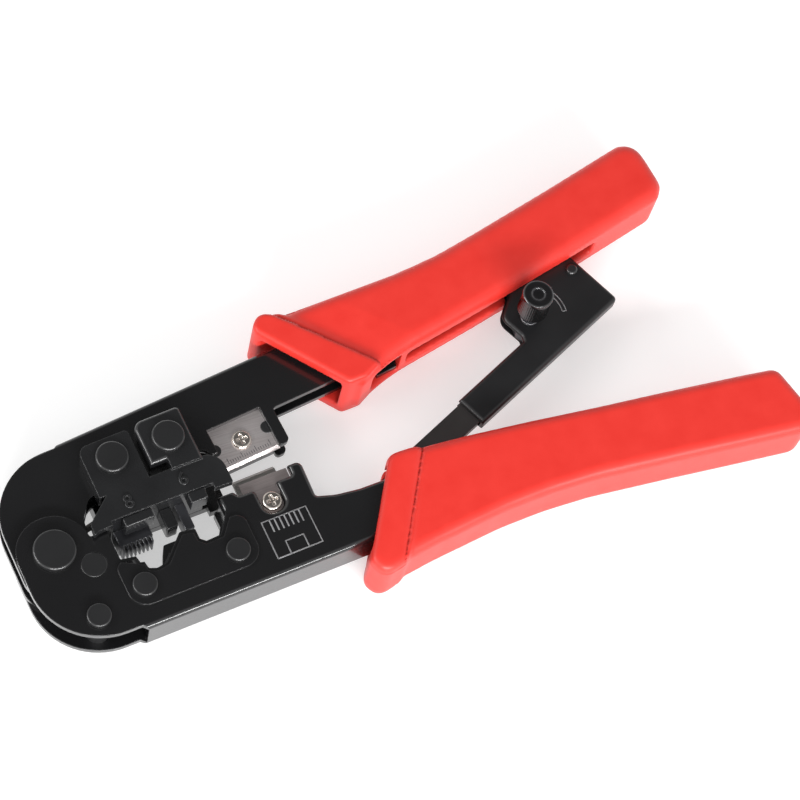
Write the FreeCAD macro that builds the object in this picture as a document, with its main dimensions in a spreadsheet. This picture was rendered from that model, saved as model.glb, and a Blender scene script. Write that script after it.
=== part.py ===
"""Ratcheting crimping tool for modular plugs, with a cable cutter and stripper.

The tool lies on its back.  X runs along the lower jaw's web from the nose to the handles,
Y runs from the lower handle to the upper one, and +Z points out of the front face.
The origin is on the main pivot's axis, in the plane that the tool rests on.
The handles are drawn fully open.
"""
import FreeCAD, Part
import math
import os
import Sketcher

doc = FreeCAD.newDocument("crimping_tool")

# ---------------------------------------------------------------- driving dimensions
DIMENSIONS = [
    # levels above the rest plane
    ("mid_level", 8.75),            # middle plane of both folded frames
    ("grip_width", 15.5),           # moulded grip, front to back
    ("collar_width", 17.5),         # thicker collar at the mouth of each grip
    # folded sheet-steel frames
    ("sheet_gauge", 1.5),
    ("lower_width", 11.0),          # outside width of the lower frame
    ("upper_width", 7.8),           # outside width of the upper frame, which runs inside the lower
    ("nose_radius", 16.8),
    ("lower_web_level", -25.3),     # outer face of the lower web
    ("web_tilt", 4.2),              # angle of the upper web to the lower one, handles open
    ("bend_start", 88.0),           # where both handle channels bend outwards
    ("upper_bend", 6.6),
    ("lower_bend", 8.2),
    ("closing_angle", 10.5),
    # main pivot and riveted pins
    ("pivot_radius", 4.0),
    ("pivot_head_radius", 5.0),
    ("head_rise", 1.5),
    ("running_gap", 0.05),
    ("spring_radius", 4.4),         # inside of the opening spring
    ("spring_gauge", 0.7),
    ("stop_pin_radius", 3.0),
    ("spacer_head_radius", 2.85),
    ("spacer_radius", 2.2),
    ("die_rivet_radius", 2.9),
    ("die_rivet_shank", 1.8),
    ("ear_rivet_radius", 3.9),
    ("ear_rivet_shank", 2.5),
    ("ear_head_rise", 1.3),
    # dies
    ("die_plate_gauge", 0.6),
    ("bar_clearance", 0.4),         # between the moving bar and the lower die plate
    ("bar_rise", 2.9),              # bar's front face above the lower frame's front face
    ("ear_step", 1.0),              # the right ear stands this much higher than the bar
    ("tooth_pitch", 1.02),          # contact spacing of the modular plug
    ("tooth_width", 0.52),
    ("tooth_length", 1.5),
    # blades
    ("blade_gauge", 1.0),
    ("screw_head_radius", 2.4),
    ("screw_shank_radius", 1.4),
    ("blade_pin_radius", 1.6),
    # telescopic ratchet link
    ("link_angle", 20.9),
    ("link_foot_x", 108.1),         # outer corner of the sleeve's open end
    ("link_foot_y", -7.1),
    ("sleeve_width", 4.3),
    ("sleeve_gauge", 0.9),
    ("sleeve_length", 50.3),
    ("sleeve_height", 8.3),
    ("bar_width", 2.2),
    ("bar_height", 6.5),
    ("link_pin_radius", 1.6),
    ("open_pivot_gap", 0.9),        # room left around the bar's lower pin
    ("rack_pitch", 1.6),
    ("rack_depth", 0.8),
    ("knob_radius", 3.8),
    ("knob_top_level", 23.75),
    ("knob_height", 6.4),
    ("knob_foot_radius", 2.3),
    ("knob_shaft_radius", 1.5),
    ("rivet_shank", 1.0),
    ("rivet_head", 1.5),
]

sheet = doc.addObject("Spreadsheet::Sheet", "sizes")
for row, (alias, value) in enumerate(DIMENSIONS, start=1):
    sheet.set(f"A{row}", alias)
    sheet.set(f"B{row}", str(value))
    sheet.setAlias(f"B{row}", alias)
doc.recompute()


def size(alias):
    """The value of one cell of the sheet, in millimetres or degrees."""
    return float(sheet.get(alias))


# ---------------------------------------------------------------- sketching helpers
def rounded(corners):
    """Lines and arcs of a closed outline; a corner is (x, y) or (x, y, radius)."""
    count = len(corners)
    trims = []
    for i, corner in enumerate(corners):
        x, y = corner[0], corner[1]
        radius = corner[2] if len(corner) > 2 else 0.0
        here = FreeCAD.Vector(x, y, 0)
        before = FreeCAD.Vector(*corners[i - 1][:2], 0) - here
        after = FreeCAD.Vector(*corners[(i + 1) % count][:2], 0) - here
        if radius == 0.0:
            trims.append((here, here, None))
            continue
        before.normalize()
        after.normalize()
        half = before.getAngle(after) / 2
        reach = radius / math.tan(half)
        bisector = (before + after).normalize()
        centre = here + bisector * (radius / math.sin(half))
        middle = centre - bisector * radius
        trims.append((here + before * reach, here + after * reach, middle))
    edges = []
    for i, (enter, leave, middle) in enumerate(trims):
        if middle is not None:
            edges.append(Part.Arc(enter, middle, leave))
        following = trims[(i + 1) % count][0]
        if (following - leave).Length > 1e-6:
            edges.append(Part.LineSegment(leave, following))
    return edges


def base_plane(body, role="XY_Plane"):
    return [item for item in body.Origin.OriginFeatures if item.Role == role][0]


def new_body(label, level="mid_level", x=0.0, y=0.0, angle=0.0):
    """A body whose own XY plane lies at a level taken from the sheet."""
    body = doc.addObject("PartDesign::Body", label)
    body.Label = label
    turn = FreeCAD.Rotation(FreeCAD.Vector(0, 0, 1), angle)
    body.Placement = FreeCAD.Placement(FreeCAD.Vector(x, y, 0), turn)
    body.setExpression("Placement.Base.z", f"sizes.{level} * 1 mm" if level in ALIASES else level)
    return body


ALIASES = [alias for alias, value in DIMENSIONS]


def drawn(body, loops, lift="0", role="XY_Plane"):
    """A sketch on one of the body's own planes, raised by an expression of the sheet."""
    sketch = body.newObject("Sketcher::SketchObject", f"{body.Label}_sketch")
    sketch.AttachmentSupport = [(base_plane(body, role), "")]
    sketch.MapMode = "FlatFace"
    sketch.setExpression("AttachmentOffset.Base.z", f"({lift}) * 1 mm")
    for loop in loops:
        for edge in loop:
            sketch.addGeometry(edge, False)
    return sketch


def rings(body, circles, lift="0"):
    """A sketch of circles, each (centre, cell that holds its radius, cell added to it or None)."""
    sketch = drawn(body, [], lift)
    for (x, y), radius, extra in circles:
        value = size(radius) + (size(extra) if extra else 0.0)
        circle = Part.Circle(FreeCAD.Vector(x, y, 0), FreeCAD.Vector(0, 0, 1), value)
        index = sketch.addGeometry(circle, False)
        limit = sketch.addConstraint(Sketcher.Constraint("Radius", index, value))
        wider = f" + sizes.{extra}" if extra else ""
        sketch.setExpression(f"Constraints[{limit}]", f"(sizes.{radius}{wider}) * 1 mm")
    return sketch


def discs(body, centres, radius, lift="0"):
    """A sketch of equal circles whose radius is held in a cell."""
    return rings(body, [(centre, radius, None) for centre in centres], lift)


def pad(body, sketch, height, reversed_side=False):
    feature = body.newObject("PartDesign::Pad", f"{body.Label}_pad")
    feature.Profile = sketch
    feature.setExpression("Length", f"({height}) * 1 mm")
    feature.Reversed = reversed_side
    sketch.Visibility = False
    doc.recompute()
    return feature


def pocket(body, sketch, depth):
    """Cuts upwards from the sketch; raises if nothing was removed."""
    before = body.Shape.Volume
    feature = body.newObject("PartDesign::Pocket", f"{body.Label}_pocket")
    feature.Profile = sketch
    feature.Reversed = True
    feature.setExpression("Length", f"({depth}) * 1 mm")
    doc.recompute()
    if body.Shape.Volume > before - 1e-3:
        raise RuntimeError(f"a pocket of {body.Label} cuts nothing")
    return feature


def edges_where(shape, test):
    """Names of the edges whose bounding box passes the test."""
    return [f"Edge{i + 1}" for i, edge in enumerate(shape.Edges) if test(edge)]


def dressed(body, kind, names, amount):
    """A Fillet or Chamfer of the body's named edges."""
    tip = body.Tip
    feature = body.newObject(f"PartDesign::{kind}", f"{body.Label}_{kind.lower()}")
    feature.Base = (tip, names)
    if kind == "Fillet":
        feature.Radius = amount
    else:
        feature.Size = amount
    doc.recompute()
    if "Invalid" in feature.State:
        raise RuntimeError(f"{feature.Name} fails on {names}")
    return feature


def is_level(edge, level):
    box = edge.BoundBox
    return abs(box.ZMin - level) < 1e-4 and abs(box.ZMax - level) < 1e-4


def pins(label, centres, layers, rounding=0.0):
    """Turned pins or rivets standing on the same levels: each layer is (from, height, radius)."""
    body = new_body(label)
    for lift, height, radius in layers:
        pad(body, discs(body, centres, radius, lift), height)
    if rounding:
        box = body.Shape.BoundBox
        rims = edges_where(body.Shape, lambda e: e.Length > 5 and (
            is_level(e, box.ZMax) or is_level(e, box.ZMin)))
        dressed(body, "Fillet", rims, rounding)
    return body


# levels measured from the middle plane, as expressions of the sheet
LOWER_HALF = "sizes.lower_width / 2"
LOWER_INNER = "sizes.lower_width / 2 - sizes.sheet_gauge"
UPPER_HALF = "sizes.upper_width / 2"
UPPER_INNER = "sizes.upper_width / 2 - sizes.sheet_gauge"

# ---------------------------------------------------------------- places in the XY plane
stop_pin_at = (7.0, -6.4)
spacer_at = (3.1, -18.5)
lower_die_rivets_at = [(15.6, -15.6), (38.7, -16.0)]
left_ear_rivet_at = (20.6, 15.4)
right_ear_rivet_at = (34.5, 15.1)
upper_screw_at = (51.9, 10.6)
lower_screw_at = (51.5, -7.2)
blade_pins_at = [(44.9, 10.4), (59.0, 11.5)]
sleeve_pin_at = (140.5, 31.0)
bar_pin_at = (82.0, -15.4)

link = FreeCAD.Placement(
    FreeCAD.Vector(size("link_foot_x"), size("link_foot_y"), 0),
    FreeCAD.Rotation(FreeCAD.Vector(0, 0, 1), size("link_angle")))


def in_link(point):
    """A point of the tool, seen from the sleeve's foot and along the sleeve."""
    local = link.inverse().multVec(FreeCAD.Vector(point[0], point[1], 0))
    return (local.x, local.y)


# ---------------------------------------------------------------- the two frames
# Windows of the lower frame: the wide nest takes an 8-way plug, the narrow one a 6-way plug.
WIDE_NEST = [(13.0, 0.3), (13.0, -7.5, 0.4), (16.6, -8.1), (17.0, -9.9), (17.9, -10.1),
             (18.2, -11.9, 0.6), (20.0, -12.6, 0.8), (22.4, -12.2, 0.8), (28.2, -6.4, 0.8)]
NARROW_NEST = [(31.9, -7.1, 0.3), (31.9, -9.7), (33.1, -10.8), (36.7, -10.6), (38.5, -8.3),
               (39.6, -6.6), (39.7, -1.6, 0.8)]
SCREW_WINDOW = [(44.0, -1.6, 0.8), (44.8, -3.0, 0.8), (48.9, -3.0, 1.2), (48.9, -10.0, 2.3),
                (54.1, -10.0, 2.3), (54.1, -3.0, 0.7), (58.3, -3.0, 0.4), (58.4, -0.3, 0.4)]


def lower_frame_outline():
    """Side of the lower frame, clockwise from the pivot's rounded end."""
    web = size("lower_web_level")
    nose = size("nose_radius")
    bend = size("bend_start")
    fall = math.tan(math.radians(size("lower_bend")))
    end = 165.0
    return ([(-8.8, 8.8, 8.7), (8.8, 8.8, 8.7), (8.8, 0.3, 0.5)]
            + WIDE_NEST + NARROW_NEST + SCREW_WINDOW
            + [(62.0, -0.2, 1.6), (61.6, -9.9, 0.8), (66.0, -11.3, 12.0), (72.0, -12.1, 12.0),
               (bend, -12.4, 30.0), (end, -12.4 - (end - bend) * fall, 2.0),
               (end, web - (end - bend) * fall * 0.8, 2.0), (bend, web, 30.0), (12.6, web),
               (11.4, -24.1), (-8.8, -24.1, nose)])


lower_frame = new_body("lower_frame", f"sizes.mid_level * 1 mm - ({LOWER_HALF}) * 1 mm")
pad(lower_frame, drawn(lower_frame, [rounded(lower_frame_outline())]), "sizes.lower_width")
web_inner = size("lower_web_level") + size("sheet_gauge")
fall = math.tan(math.radians(size("lower_bend")))
run = 170.0 - size("bend_start")
channel_room = [(-12.0, 12.0), (-12.0, -30.0), (12.6, -30.0), (12.6, web_inner),
                (size("bend_start"), web_inner, 30.0), (170.0, web_inner - run * fall * 0.8),
                (170.0, 12.0)]
pocket(lower_frame, drawn(lower_frame, [rounded(channel_room)], "sizes.sheet_gauge"),
       "sizes.lower_width - 2 * sizes.sheet_gauge")
pocket(lower_frame, rings(lower_frame, [
    ((0, 0), "pivot_radius", None), (stop_pin_at, "stop_pin_radius", None),
    (spacer_at, "spacer_radius", None), (bar_pin_at, "link_pin_radius", None)]
    + [(at, "die_rivet_shank", None) for at in lower_die_rivets_at]), "sizes.lower_width")


def web_bends(body, test):
    """Long edges where a web meets the two outer faces of its plates."""
    box = body.Shape.BoundBox
    return edges_where(body.Shape, lambda edge: (
        edge.Curve.TypeId == "Part::GeomLine" and edge.BoundBox.XLength > 3
        and test(edge.BoundBox)
        and (is_level(edge, box.ZMin) or is_level(edge, box.ZMax))))


dressed(lower_frame, "Fillet", web_bends(lower_frame, lambda box: box.YMax < -25.2), 1.3)


def upper_frame_outline():
    """Side of the upper frame, clockwise from the lobe under the pivot."""
    tilt = size("web_tilt")
    slope = math.tan(math.radians(tilt))
    rise = math.tan(math.radians(tilt + size("upper_bend")))
    nose = size("nose_radius")
    bend = size("bend_start")
    end = 160.0
    web_start = (11.2, 25.5)
    web_bend = web_start[1] + (bend - web_start[0]) * slope
    edge_start = (62.7, 15.0)
    edge_bend = edge_start[1] + (bend - edge_start[0]) * slope
    lug = (91.0, 97.0)                       # lugs on both cheeks fill the grip's small slot
    lug_low = edge_bend - 1.2
    return [(-8.9, 24.4, nose), (10.2, 24.6, 0.5), web_start,
            (bend, web_bend, 30.0), (end, web_bend + (end - bend) * rise * 0.85, 2.0),
            (end, edge_bend + (end - bend) * rise, 2.0),
            (lug[1], edge_bend + (lug[1] - bend) * rise), (lug[1] - 0.4, lug_low + 0.7),
            (lug[0], lug_low), (lug[0], edge_bend + (lug[0] - bend) * rise),
            (bend, edge_bend, 30.0),
            edge_start, (61.9, 14.6, 0.5), (62.2, 5.6, 1.3), (59.3, 5.4, 1.0), (59.0, 16.4, 0.2),
            (44.9, 15.4), (45.1, 9.2), (43.6, 9.2, 0.3), (41.8, 11.6, 1.8), (38.9, 10.6, 1.0),
            (38.4, 7.4), (17.0, 7.4), (16.6, 10.4, 0.4), (12.6, 9.9, 3.5), (9.5, 5.4, 3.0),
            (8.9, 0.8, 1.0), (6.1, -1.6, 1.5), (3.4, -6.3, 1.0), (4.2, -10.2, 1.5),
            (-9.0, -11.4, 7.0)]


upper_frame = new_body("upper_frame", f"sizes.mid_level * 1 mm - ({UPPER_HALF}) * 1 mm")
pad(upper_frame, drawn(upper_frame, [rounded(upper_frame_outline())]), "sizes.upper_width")
slope = math.tan(math.radians(size("web_tilt")))
rise = math.tan(math.radians(size("web_tilt") + size("upper_bend")))
web_low = 25.5 - size("sheet_gauge")
bend_x = size("bend_start")
upper_room = [(-12.0, -15.0), (165.0, -15.0),
              (165.0, web_low + (bend_x - 11.2) * slope + (165.0 - bend_x) * rise * 0.85),
              (bend_x, web_low + (bend_x - 11.2) * slope, 30.0),
              (11.2, web_low), (11.2, 30.0), (-12.0, 30.0)]
pocket(upper_frame, drawn(upper_frame, [rounded(upper_room)], "sizes.sheet_gauge"),
       "sizes.upper_width - 2 * sizes.sheet_gauge")
pocket(upper_frame, rings(upper_frame, [
    ((0, 0), "pivot_radius", "running_gap"), (left_ear_rivet_at, "ear_rivet_shank", None),
    (right_ear_rivet_at, "ear_rivet_shank", None), (sleeve_pin_at, "link_pin_radius", None)]),
    "sizes.upper_width")
dressed(upper_frame, "Fillet", web_bends(upper_frame, lambda box: box.YMin > 25.4), 1.3)

# ---------------------------------------------------------------- pivot, spring and plain rivets
main_pivot_rivet = pins("main_pivot_rivet", [(0, 0)], [
    (f"-({LOWER_HALF})", "sizes.lower_width", "pivot_radius"),
    (LOWER_HALF, "sizes.head_rise", "pivot_head_radius"),
    (f"-({LOWER_HALF}) - sizes.head_rise", "sizes.head_rise", "pivot_head_radius")], 0.5)
stop_pin = pins("stop_pin", [stop_pin_at], [
    (f"-({LOWER_HALF})", "sizes.lower_width + 0.15", "stop_pin_radius")], 0.12)
nose_spacer_rivet = pins("nose_spacer_rivet", [spacer_at], [
    (f"-({LOWER_HALF})", "sizes.lower_width", "spacer_radius"),
    (f"-({LOWER_INNER})", f"2 * ({LOWER_INNER})", "spacer_head_radius"),
    (LOWER_HALF, "sizes.head_rise", "spacer_head_radius"),
    (f"-({LOWER_HALF}) - 1", "1", "spacer_head_radius")], 0.35)
lower_die_rivets = pins("lower_die_rivets", lower_die_rivets_at, [
    (f"-({LOWER_HALF})", "sizes.lower_width + sizes.die_plate_gauge", "die_rivet_shank"),
    (f"{LOWER_HALF} + sizes.die_plate_gauge", "1.1", "die_rivet_radius"),
    (f"-({LOWER_HALF}) - 1", "1", "die_rivet_radius")], 0.35)

# Opening spring: a flat strip bent round the pivot, with one leg against the stop pin.
return_spring = new_body("return_spring")
coil, strip = size("spring_radius"), size("spring_gauge")
leg_angle = math.radians(38)
middle = FreeCAD.Vector(0, 0, 0)
upward = FreeCAD.Vector(0, 0, 1)
leg_length = 7.2
strip_loop = []
leg_ends = []
for radius in (coil, coil + strip):
    circle = Part.Circle(middle, upward, radius)
    strip_loop.append(Part.ArcOfCircle(circle, leg_angle, 2 * math.pi - leg_angle))
    for side in (1, -1):
        foot = FreeCAD.Vector(radius * math.cos(leg_angle), side * radius * math.sin(leg_angle), 0)
        tip = FreeCAD.Vector(coil + leg_length, foot.y + (1.8 if side > 0 else 0.35), 0)
        strip_loop.append(Part.LineSegment(foot, tip))
        leg_ends.append(tip)
strip_loop.append(Part.LineSegment(leg_ends[0], leg_ends[2]))
strip_loop.append(Part.LineSegment(leg_ends[1], leg_ends[3]))
pad(return_spring, drawn(return_spring, [strip_loop], f"-({UPPER_INNER}) + 0.3"),
    f"2 * ({UPPER_INNER}) - 0.6")

# ---------------------------------------------------------------- lower dies


def lower_die_outline():
    """Side of the block between the lower plates that holds both nests."""
    return [(12.2, -4.2, 0.5), (13.35, -4.2), (13.35, -7.9, 0.4), (16.9, -8.5), (17.3, -10.0),
            (18.2, -10.2), (18.5, -11.7, 0.6), (20.0, -12.2, 0.6), (22.2, -11.8, 0.8),
            (27.9, -6.3, 0.5), (32.2, -6.9, 0.2), (32.2, -9.6), (33.3, -10.4), (36.5, -10.2),
            (38.1, -8.1), (39.2, -6.4), (39.2, -2.6, 0.4), (43.2, -2.6, 1.0), (43.2, -20.2, 2.5),
            (12.2, -20.2, 2.5)]


lower_die_block = new_body("lower_die_block", f"sizes.mid_level * 1 mm - ({LOWER_INNER}) * 1 mm")
pad(lower_die_block, drawn(lower_die_block, [rounded(lower_die_outline())]),
    f"2 * ({LOWER_INNER})")
punch_room = [(24.0, 0), (40.4, 0), (39.2, -12.4, 1.0), (24.6, -12.4, 1.0)]
pocket(lower_die_block, drawn(lower_die_block, [rounded(punch_room)], "2.2"), "9")
# A thinner shelf at the back carries on into the wide nest, under the guide finger.
nest_shelf = [(22.0, -12.6), (22.6, -10.8), (23.8, -8.0), (25.1, -5.5, 0.6), (31.0, -5.5),
              (31.0, -12.6)]
pad(lower_die_block, drawn(lower_die_block, [rounded(nest_shelf)]), "2.2")
pocket(lower_die_block, discs(lower_die_block, lower_die_rivets_at, "die_rivet_shank"),
       "sizes.lower_width")

lower_die_plate = new_body("lower_die_plate", f"sizes.mid_level * 1 mm + ({LOWER_HALF}) * 1 mm")
plate_outline = [(13.0, -8.4, 0.5), (16.4, -9.0), (16.7, -10.6), (17.6, -10.9), (17.9, -12.7, 0.6),
                 (19.9, -13.5, 0.8), (22.9, -13.0, 0.8), (28.4, -7.4, 0.6), (31.0, -7.9, 0.3),
                 (31.2, -10.2), (32.7, -11.7), (37.1, -11.5), (39.2, -8.9), (40.3, -7.6, 0.4),
                 (43.6, -7.8, 2.5), (43.6, -20.4, 4.5), (11.2, -20.4, 4.5), (11.2, -8.4, 2.0)]
pad(lower_die_plate, drawn(lower_die_plate, [rounded(plate_outline)]), "sizes.die_plate_gauge")
pocket(lower_die_plate, discs(lower_die_plate, lower_die_rivets_at, "die_rivet_shank"), "2")

# ---------------------------------------------------------------- upper dies
# One casting carries the bar and both ears; its back half mirrors it on the other face.
BAR_BACK = f"{LOWER_HALF} + sizes.die_plate_gauge + sizes.bar_clearance"
BAR_FRONT = f"{LOWER_HALF} + sizes.bar_rise"
bar_outline = [(9.3, -1.0, 0.3), (9.6, 2.0, 1.2), (16.0, 7.5, 3.0), (44.2, 8.3, 4.5),
               (44.2, -0.6, 0.3), (39.6, -0.5, 0.2), (39.6, 0.9), (14.3, 0.9), (14.3, -0.1, 0.2),
               (10.8, -0.3, 0.3)]
left_ear = [(14.0, 7.2), (14.0, 20.6, 2.4), (26.7, 20.9, 1.2), (26.7, 7.2)]
right_ear = [(28.0, 10.1, 0.3), (28.0, 21.5, 2.5), (40.0, 21.8, 1.2), (40.0, 7.4), (32.2, 7.4),
             (32.2, 10.1)]


def die_half(label, base, ear_lift, bar_lift, bar_height, ear_height, step):
    """Bar and two ears; the right ear is one step thicker."""
    body = new_body(label, f"sizes.mid_level * 1 mm + ({base}) * 1 mm")
    pad(body, drawn(body, [rounded(bar_outline)], bar_lift), bar_height)
    pad(body, drawn(body, [rounded(left_ear)], ear_lift), ear_height)
    pad(body, drawn(body, [rounded(right_ear)], ear_lift + step[0]), ear_height + step[1])
    pocket(body, discs(body, [left_ear_rivet_at, right_ear_rivet_at], "ear_rivet_shank",
                       ear_lift + step[0]), "20")
    return body


upper_die_front = die_half(
    "upper_die_front", "0", UPPER_HALF, BAR_BACK, f"{BAR_FRONT} - ({BAR_BACK})",
    f"{BAR_FRONT} - ({UPPER_HALF})", ("", " + sizes.ear_step"))
upper_die_back = die_half(
    "upper_die_back", f"-({LOWER_HALF}) - 3.2", "0", "0", "2.6",
    f"{LOWER_HALF} + 3.2 - ({UPPER_HALF})", ("", ""))
ear_top = upper_die_front.Shape.BoundBox.ZMax
bar_top = ear_top - size("ear_step")
dressed(upper_die_front, "Fillet", edges_where(upper_die_front.Shape, lambda e: (
    is_level(e, ear_top) and e.BoundBox.XMax < 28.1)), 0.95)

upper_die_rivets = new_body("upper_die_rivets")
BACK_FACE = f"{LOWER_HALF} + 3.2"
for at, top in ((left_ear_rivet_at, BAR_FRONT),
                (right_ear_rivet_at, f"{BAR_FRONT} + sizes.ear_step")):
    pad(upper_die_rivets, discs(upper_die_rivets, [at], "ear_rivet_shank", f"-({BACK_FACE})"),
        f"{BACK_FACE} + {top}")
    pad(upper_die_rivets, discs(upper_die_rivets, [at], "ear_rivet_radius", top),
        "sizes.ear_head_rise")
rim_levels = [upper_die_rivets.Shape.BoundBox.ZMax,
              upper_die_rivets.Shape.BoundBox.ZMax - size("ear_step")]
dressed(upper_die_rivets, "Fillet", edges_where(upper_die_rivets.Shape, lambda e: any(
    is_level(e, level) for level in rim_levels) and e.Length > 20), 0.5)

# Punches under the bar.  Levels are measured from the middle plane.


def punch(label, outline, low, height):
    body = new_body(label)
    pad(body, drawn(body, [rounded(outline)], low), height)
    return body


def comb_outline(left, root, count, top):
    """A plate whose lower edge is a row of contact teeth at the plug's pitch."""
    pitch, width, length = size("tooth_pitch"), size("tooth_width"), size("tooth_length")
    corners = [(left - 0.3, top), (left - 0.3, root)]
    for tooth in range(count):
        start = left + tooth * pitch
        corners += [(start, root), (start + width * 0.15, root - length),
                    (start + width * 0.85, root - length), (start + width, root)]
    corners += [(left + (count - 1) * pitch + width + 0.3, root),
                (left + (count - 1) * pitch + width + 0.3, top)]
    return corners


contact_punch_wide = punch("contact_punch_wide", comb_outline(15.3, -3.2, 8, 0.9), "-4", "5.2")
strain_punch_wide = punch("strain_punch_wide", [(16.9, 0.9), (16.9, -1.5, 0.3), (24.1, -1.5, 0.3),
                                                (24.1, 0.9)], "2.6", f"{BAR_FRONT} - 3.1")
contact_punch_narrow = punch("contact_punch_narrow", [
    (30.2, 0.9), (30.2, -5.8, 0.2), (32.6, -5.8, 0.2), (32.6, 0.9)], "-1.5", "4.8")
strain_punch_narrow = punch("strain_punch_narrow", [
    (33.2, 0.9), (33.2, -1.8, 0.2), (37.4, -1.8, 0.2), (37.4, 0.9)], "3.5", f"{BAR_FRONT} - 3.9")
guide_finger = punch("guide_finger", [
    (26.3, 0.9), (26.3, -4.2, 0.6), (29.2, -4.2, 0.6), (29.2, 0.9)], "-1.6", "5.3")
punch_carrier = punch("punch_carrier", [
    (14.6, 0.9), (38.2, 0.9), (38.2, 7.0), (14.6, 7.0)], f"-({LOWER_HALF}) - 0.6",
    f"{LOWER_HALF} + 0.6 + {BAR_BACK}")

# ---------------------------------------------------------------- cutting and stripping blades
tilt = size("web_tilt")
blade_corner = (44.95, 4.55)                 # lower left corner of the upper blade
upper_blade = new_body("upper_blade", f"sizes.mid_level * 1 mm + ({UPPER_INNER}) * 1 mm"
                       " - sizes.blade_gauge * 1 mm", blade_corner[0], blade_corner[1], tilt)
blade_outline = [(0.9, 0), (15.0, 0), (15.0, 10.9), (0, 10.9), (0, 1.6)]
pad(upper_blade, drawn(upper_blade, [rounded(blade_outline)]), "sizes.blade_gauge")
blade_place = upper_blade.Placement.inverse()
local_pins = [blade_place.multVec(FreeCAD.Vector(x, y, upper_blade.Placement.Base.z))
              for x, y in blade_pins_at]
pocket(upper_blade, discs(upper_blade, [(at.x, at.y) for at in local_pins], "blade_pin_radius"),
       "5")
screw_local = blade_place.multVec(FreeCAD.Vector(*upper_screw_at, upper_blade.Placement.Base.z))
pocket(upper_blade, discs(upper_blade, [(screw_local.x, screw_local.y)], "screw_shank_radius"),
       "5")
edge_level = upper_blade.Placement.Base.z + size("blade_gauge")
dressed(upper_blade, "Chamfer", edges_where(upper_blade.Shape, lambda e: (
    is_level(e, edge_level) and e.BoundBox.XLength > 12 and e.BoundBox.YMax < 7)), 0.7)

HOLDER_BACK = "-2.1"
blade_holder = new_body("blade_holder", "mid_level", blade_corner[0], blade_corner[1], tilt)
holder_outline = [(0.8, 0.5, 0.4), (14.6, 0.5, 1.2), (14.6, 9.6, 0.4), (0.8, 9.6, 0.4)]
pad(blade_holder, drawn(blade_holder, [rounded(holder_outline)], HOLDER_BACK),
    f"{UPPER_INNER} - sizes.blade_gauge - {HOLDER_BACK}")
pocket(blade_holder, discs(blade_holder, [(screw_local.x, screw_local.y)], "screw_shank_radius",
                           HOLDER_BACK), "9")
pocket(blade_holder, discs(blade_holder, [(at.x, at.y) for at in local_pins], "blade_pin_radius",
                           HOLDER_BACK), "9")
blade_pins = pins("blade_pins", blade_pins_at, [
    (HOLDER_BACK, f"{UPPER_INNER} - {HOLDER_BACK}", "blade_pin_radius")], 0.15)

upper_blade_screw = pins("upper_blade_screw", [upper_screw_at], [
    (HOLDER_BACK, f"{UPPER_INNER} - {HOLDER_BACK}", "screw_shank_radius"),
    (UPPER_INNER, "0.8", "screw_head_radius")])
lower_blade_screw = pins("lower_blade_screw", [lower_screw_at], [
    ("-3.8", f"{LOWER_INNER} + 3.8", "screw_shank_radius"),
    (LOWER_INNER, "1.3", "screw_head_radius")])


def cross_recess(body, at):
    """Domes a screw's head and cuts its cross recess."""
    top = body.Shape.BoundBox.ZMax
    dressed(body, "Fillet", edges_where(body.Shape, lambda e: is_level(e, top)), 0.6)
    arm, width = 1.35, 0.3
    lift = top - size("mid_level") - 0.6
    bars = [[(at[0] - arm, at[1] - width), (at[0] + arm, at[1] - width),
             (at[0] + arm, at[1] + width), (at[0] - arm, at[1] + width)],
            [(at[0] - width, at[1] - arm), (at[0] + width, at[1] - arm),
             (at[0] + width, at[1] + arm), (at[0] - width, at[1] + arm)]]
    for corners in bars:
        pocket(body, drawn(body, [rounded(corners)], f"{lift}"), "2")


cross_recess(upper_blade_screw, upper_screw_at)
cross_recess(lower_blade_screw, lower_screw_at)

lower_blade = new_body("lower_blade", f"sizes.mid_level * 1 mm + ({LOWER_INNER}) * 1 mm"
                       " - sizes.blade_gauge * 0.5 mm")
lower_blade_outline = [(46.0, -0.4), (58.2, -0.4), (58.2, -4.9), (55.0, -4.9), (55.0, -10.4),
                       (47.8, -10.4), (47.8, -4.9), (46.0, -4.9)]
pad(lower_blade, drawn(lower_blade, [rounded(lower_blade_outline)]), "sizes.blade_gauge / 2")
pocket(lower_blade, discs(lower_blade, [lower_screw_at], "screw_shank_radius"), "5")
lower_blade_block = new_body("lower_blade_block")
block_outline = [(46.4, -5.9, 0.3), (58.0, -5.9, 0.3), (58.0, -11.2, 0.5), (46.4, -11.2, 0.5)]
pad(lower_blade_block, drawn(lower_blade_block, [rounded(block_outline)], "-3.0"),
    f"{LOWER_INNER} - sizes.blade_gauge / 2 + 3.0")
pocket(lower_blade_block, discs(lower_blade_block, [lower_screw_at], "screw_shank_radius", "-3"),
       "9")
# Steel plate at the back of the lower jaw, bevelled along its top edge: the stripping stop.
stripping_stop = new_body("stripping_stop")
stop_outline = [(46.7, 3.7), (57.7, 3.9), (57.7, -10.4), (46.7, -10.4)]
pad(stripping_stop, drawn(stripping_stop, [rounded(stop_outline)], f"-({LOWER_INNER})"),
    "sizes.blade_gauge")
pocket(stripping_stop, discs(stripping_stop, [lower_screw_at], "screw_shank_radius",
                             f"-({LOWER_INNER})"), "5")
stop_top = stripping_stop.Shape.BoundBox.ZMax
dressed(stripping_stop, "Chamfer", edges_where(stripping_stop.Shape, lambda e: (
    is_level(e, stop_top) and e.BoundBox.XLength > 8 and e.BoundBox.YMin > 3)), 0.8)

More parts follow.
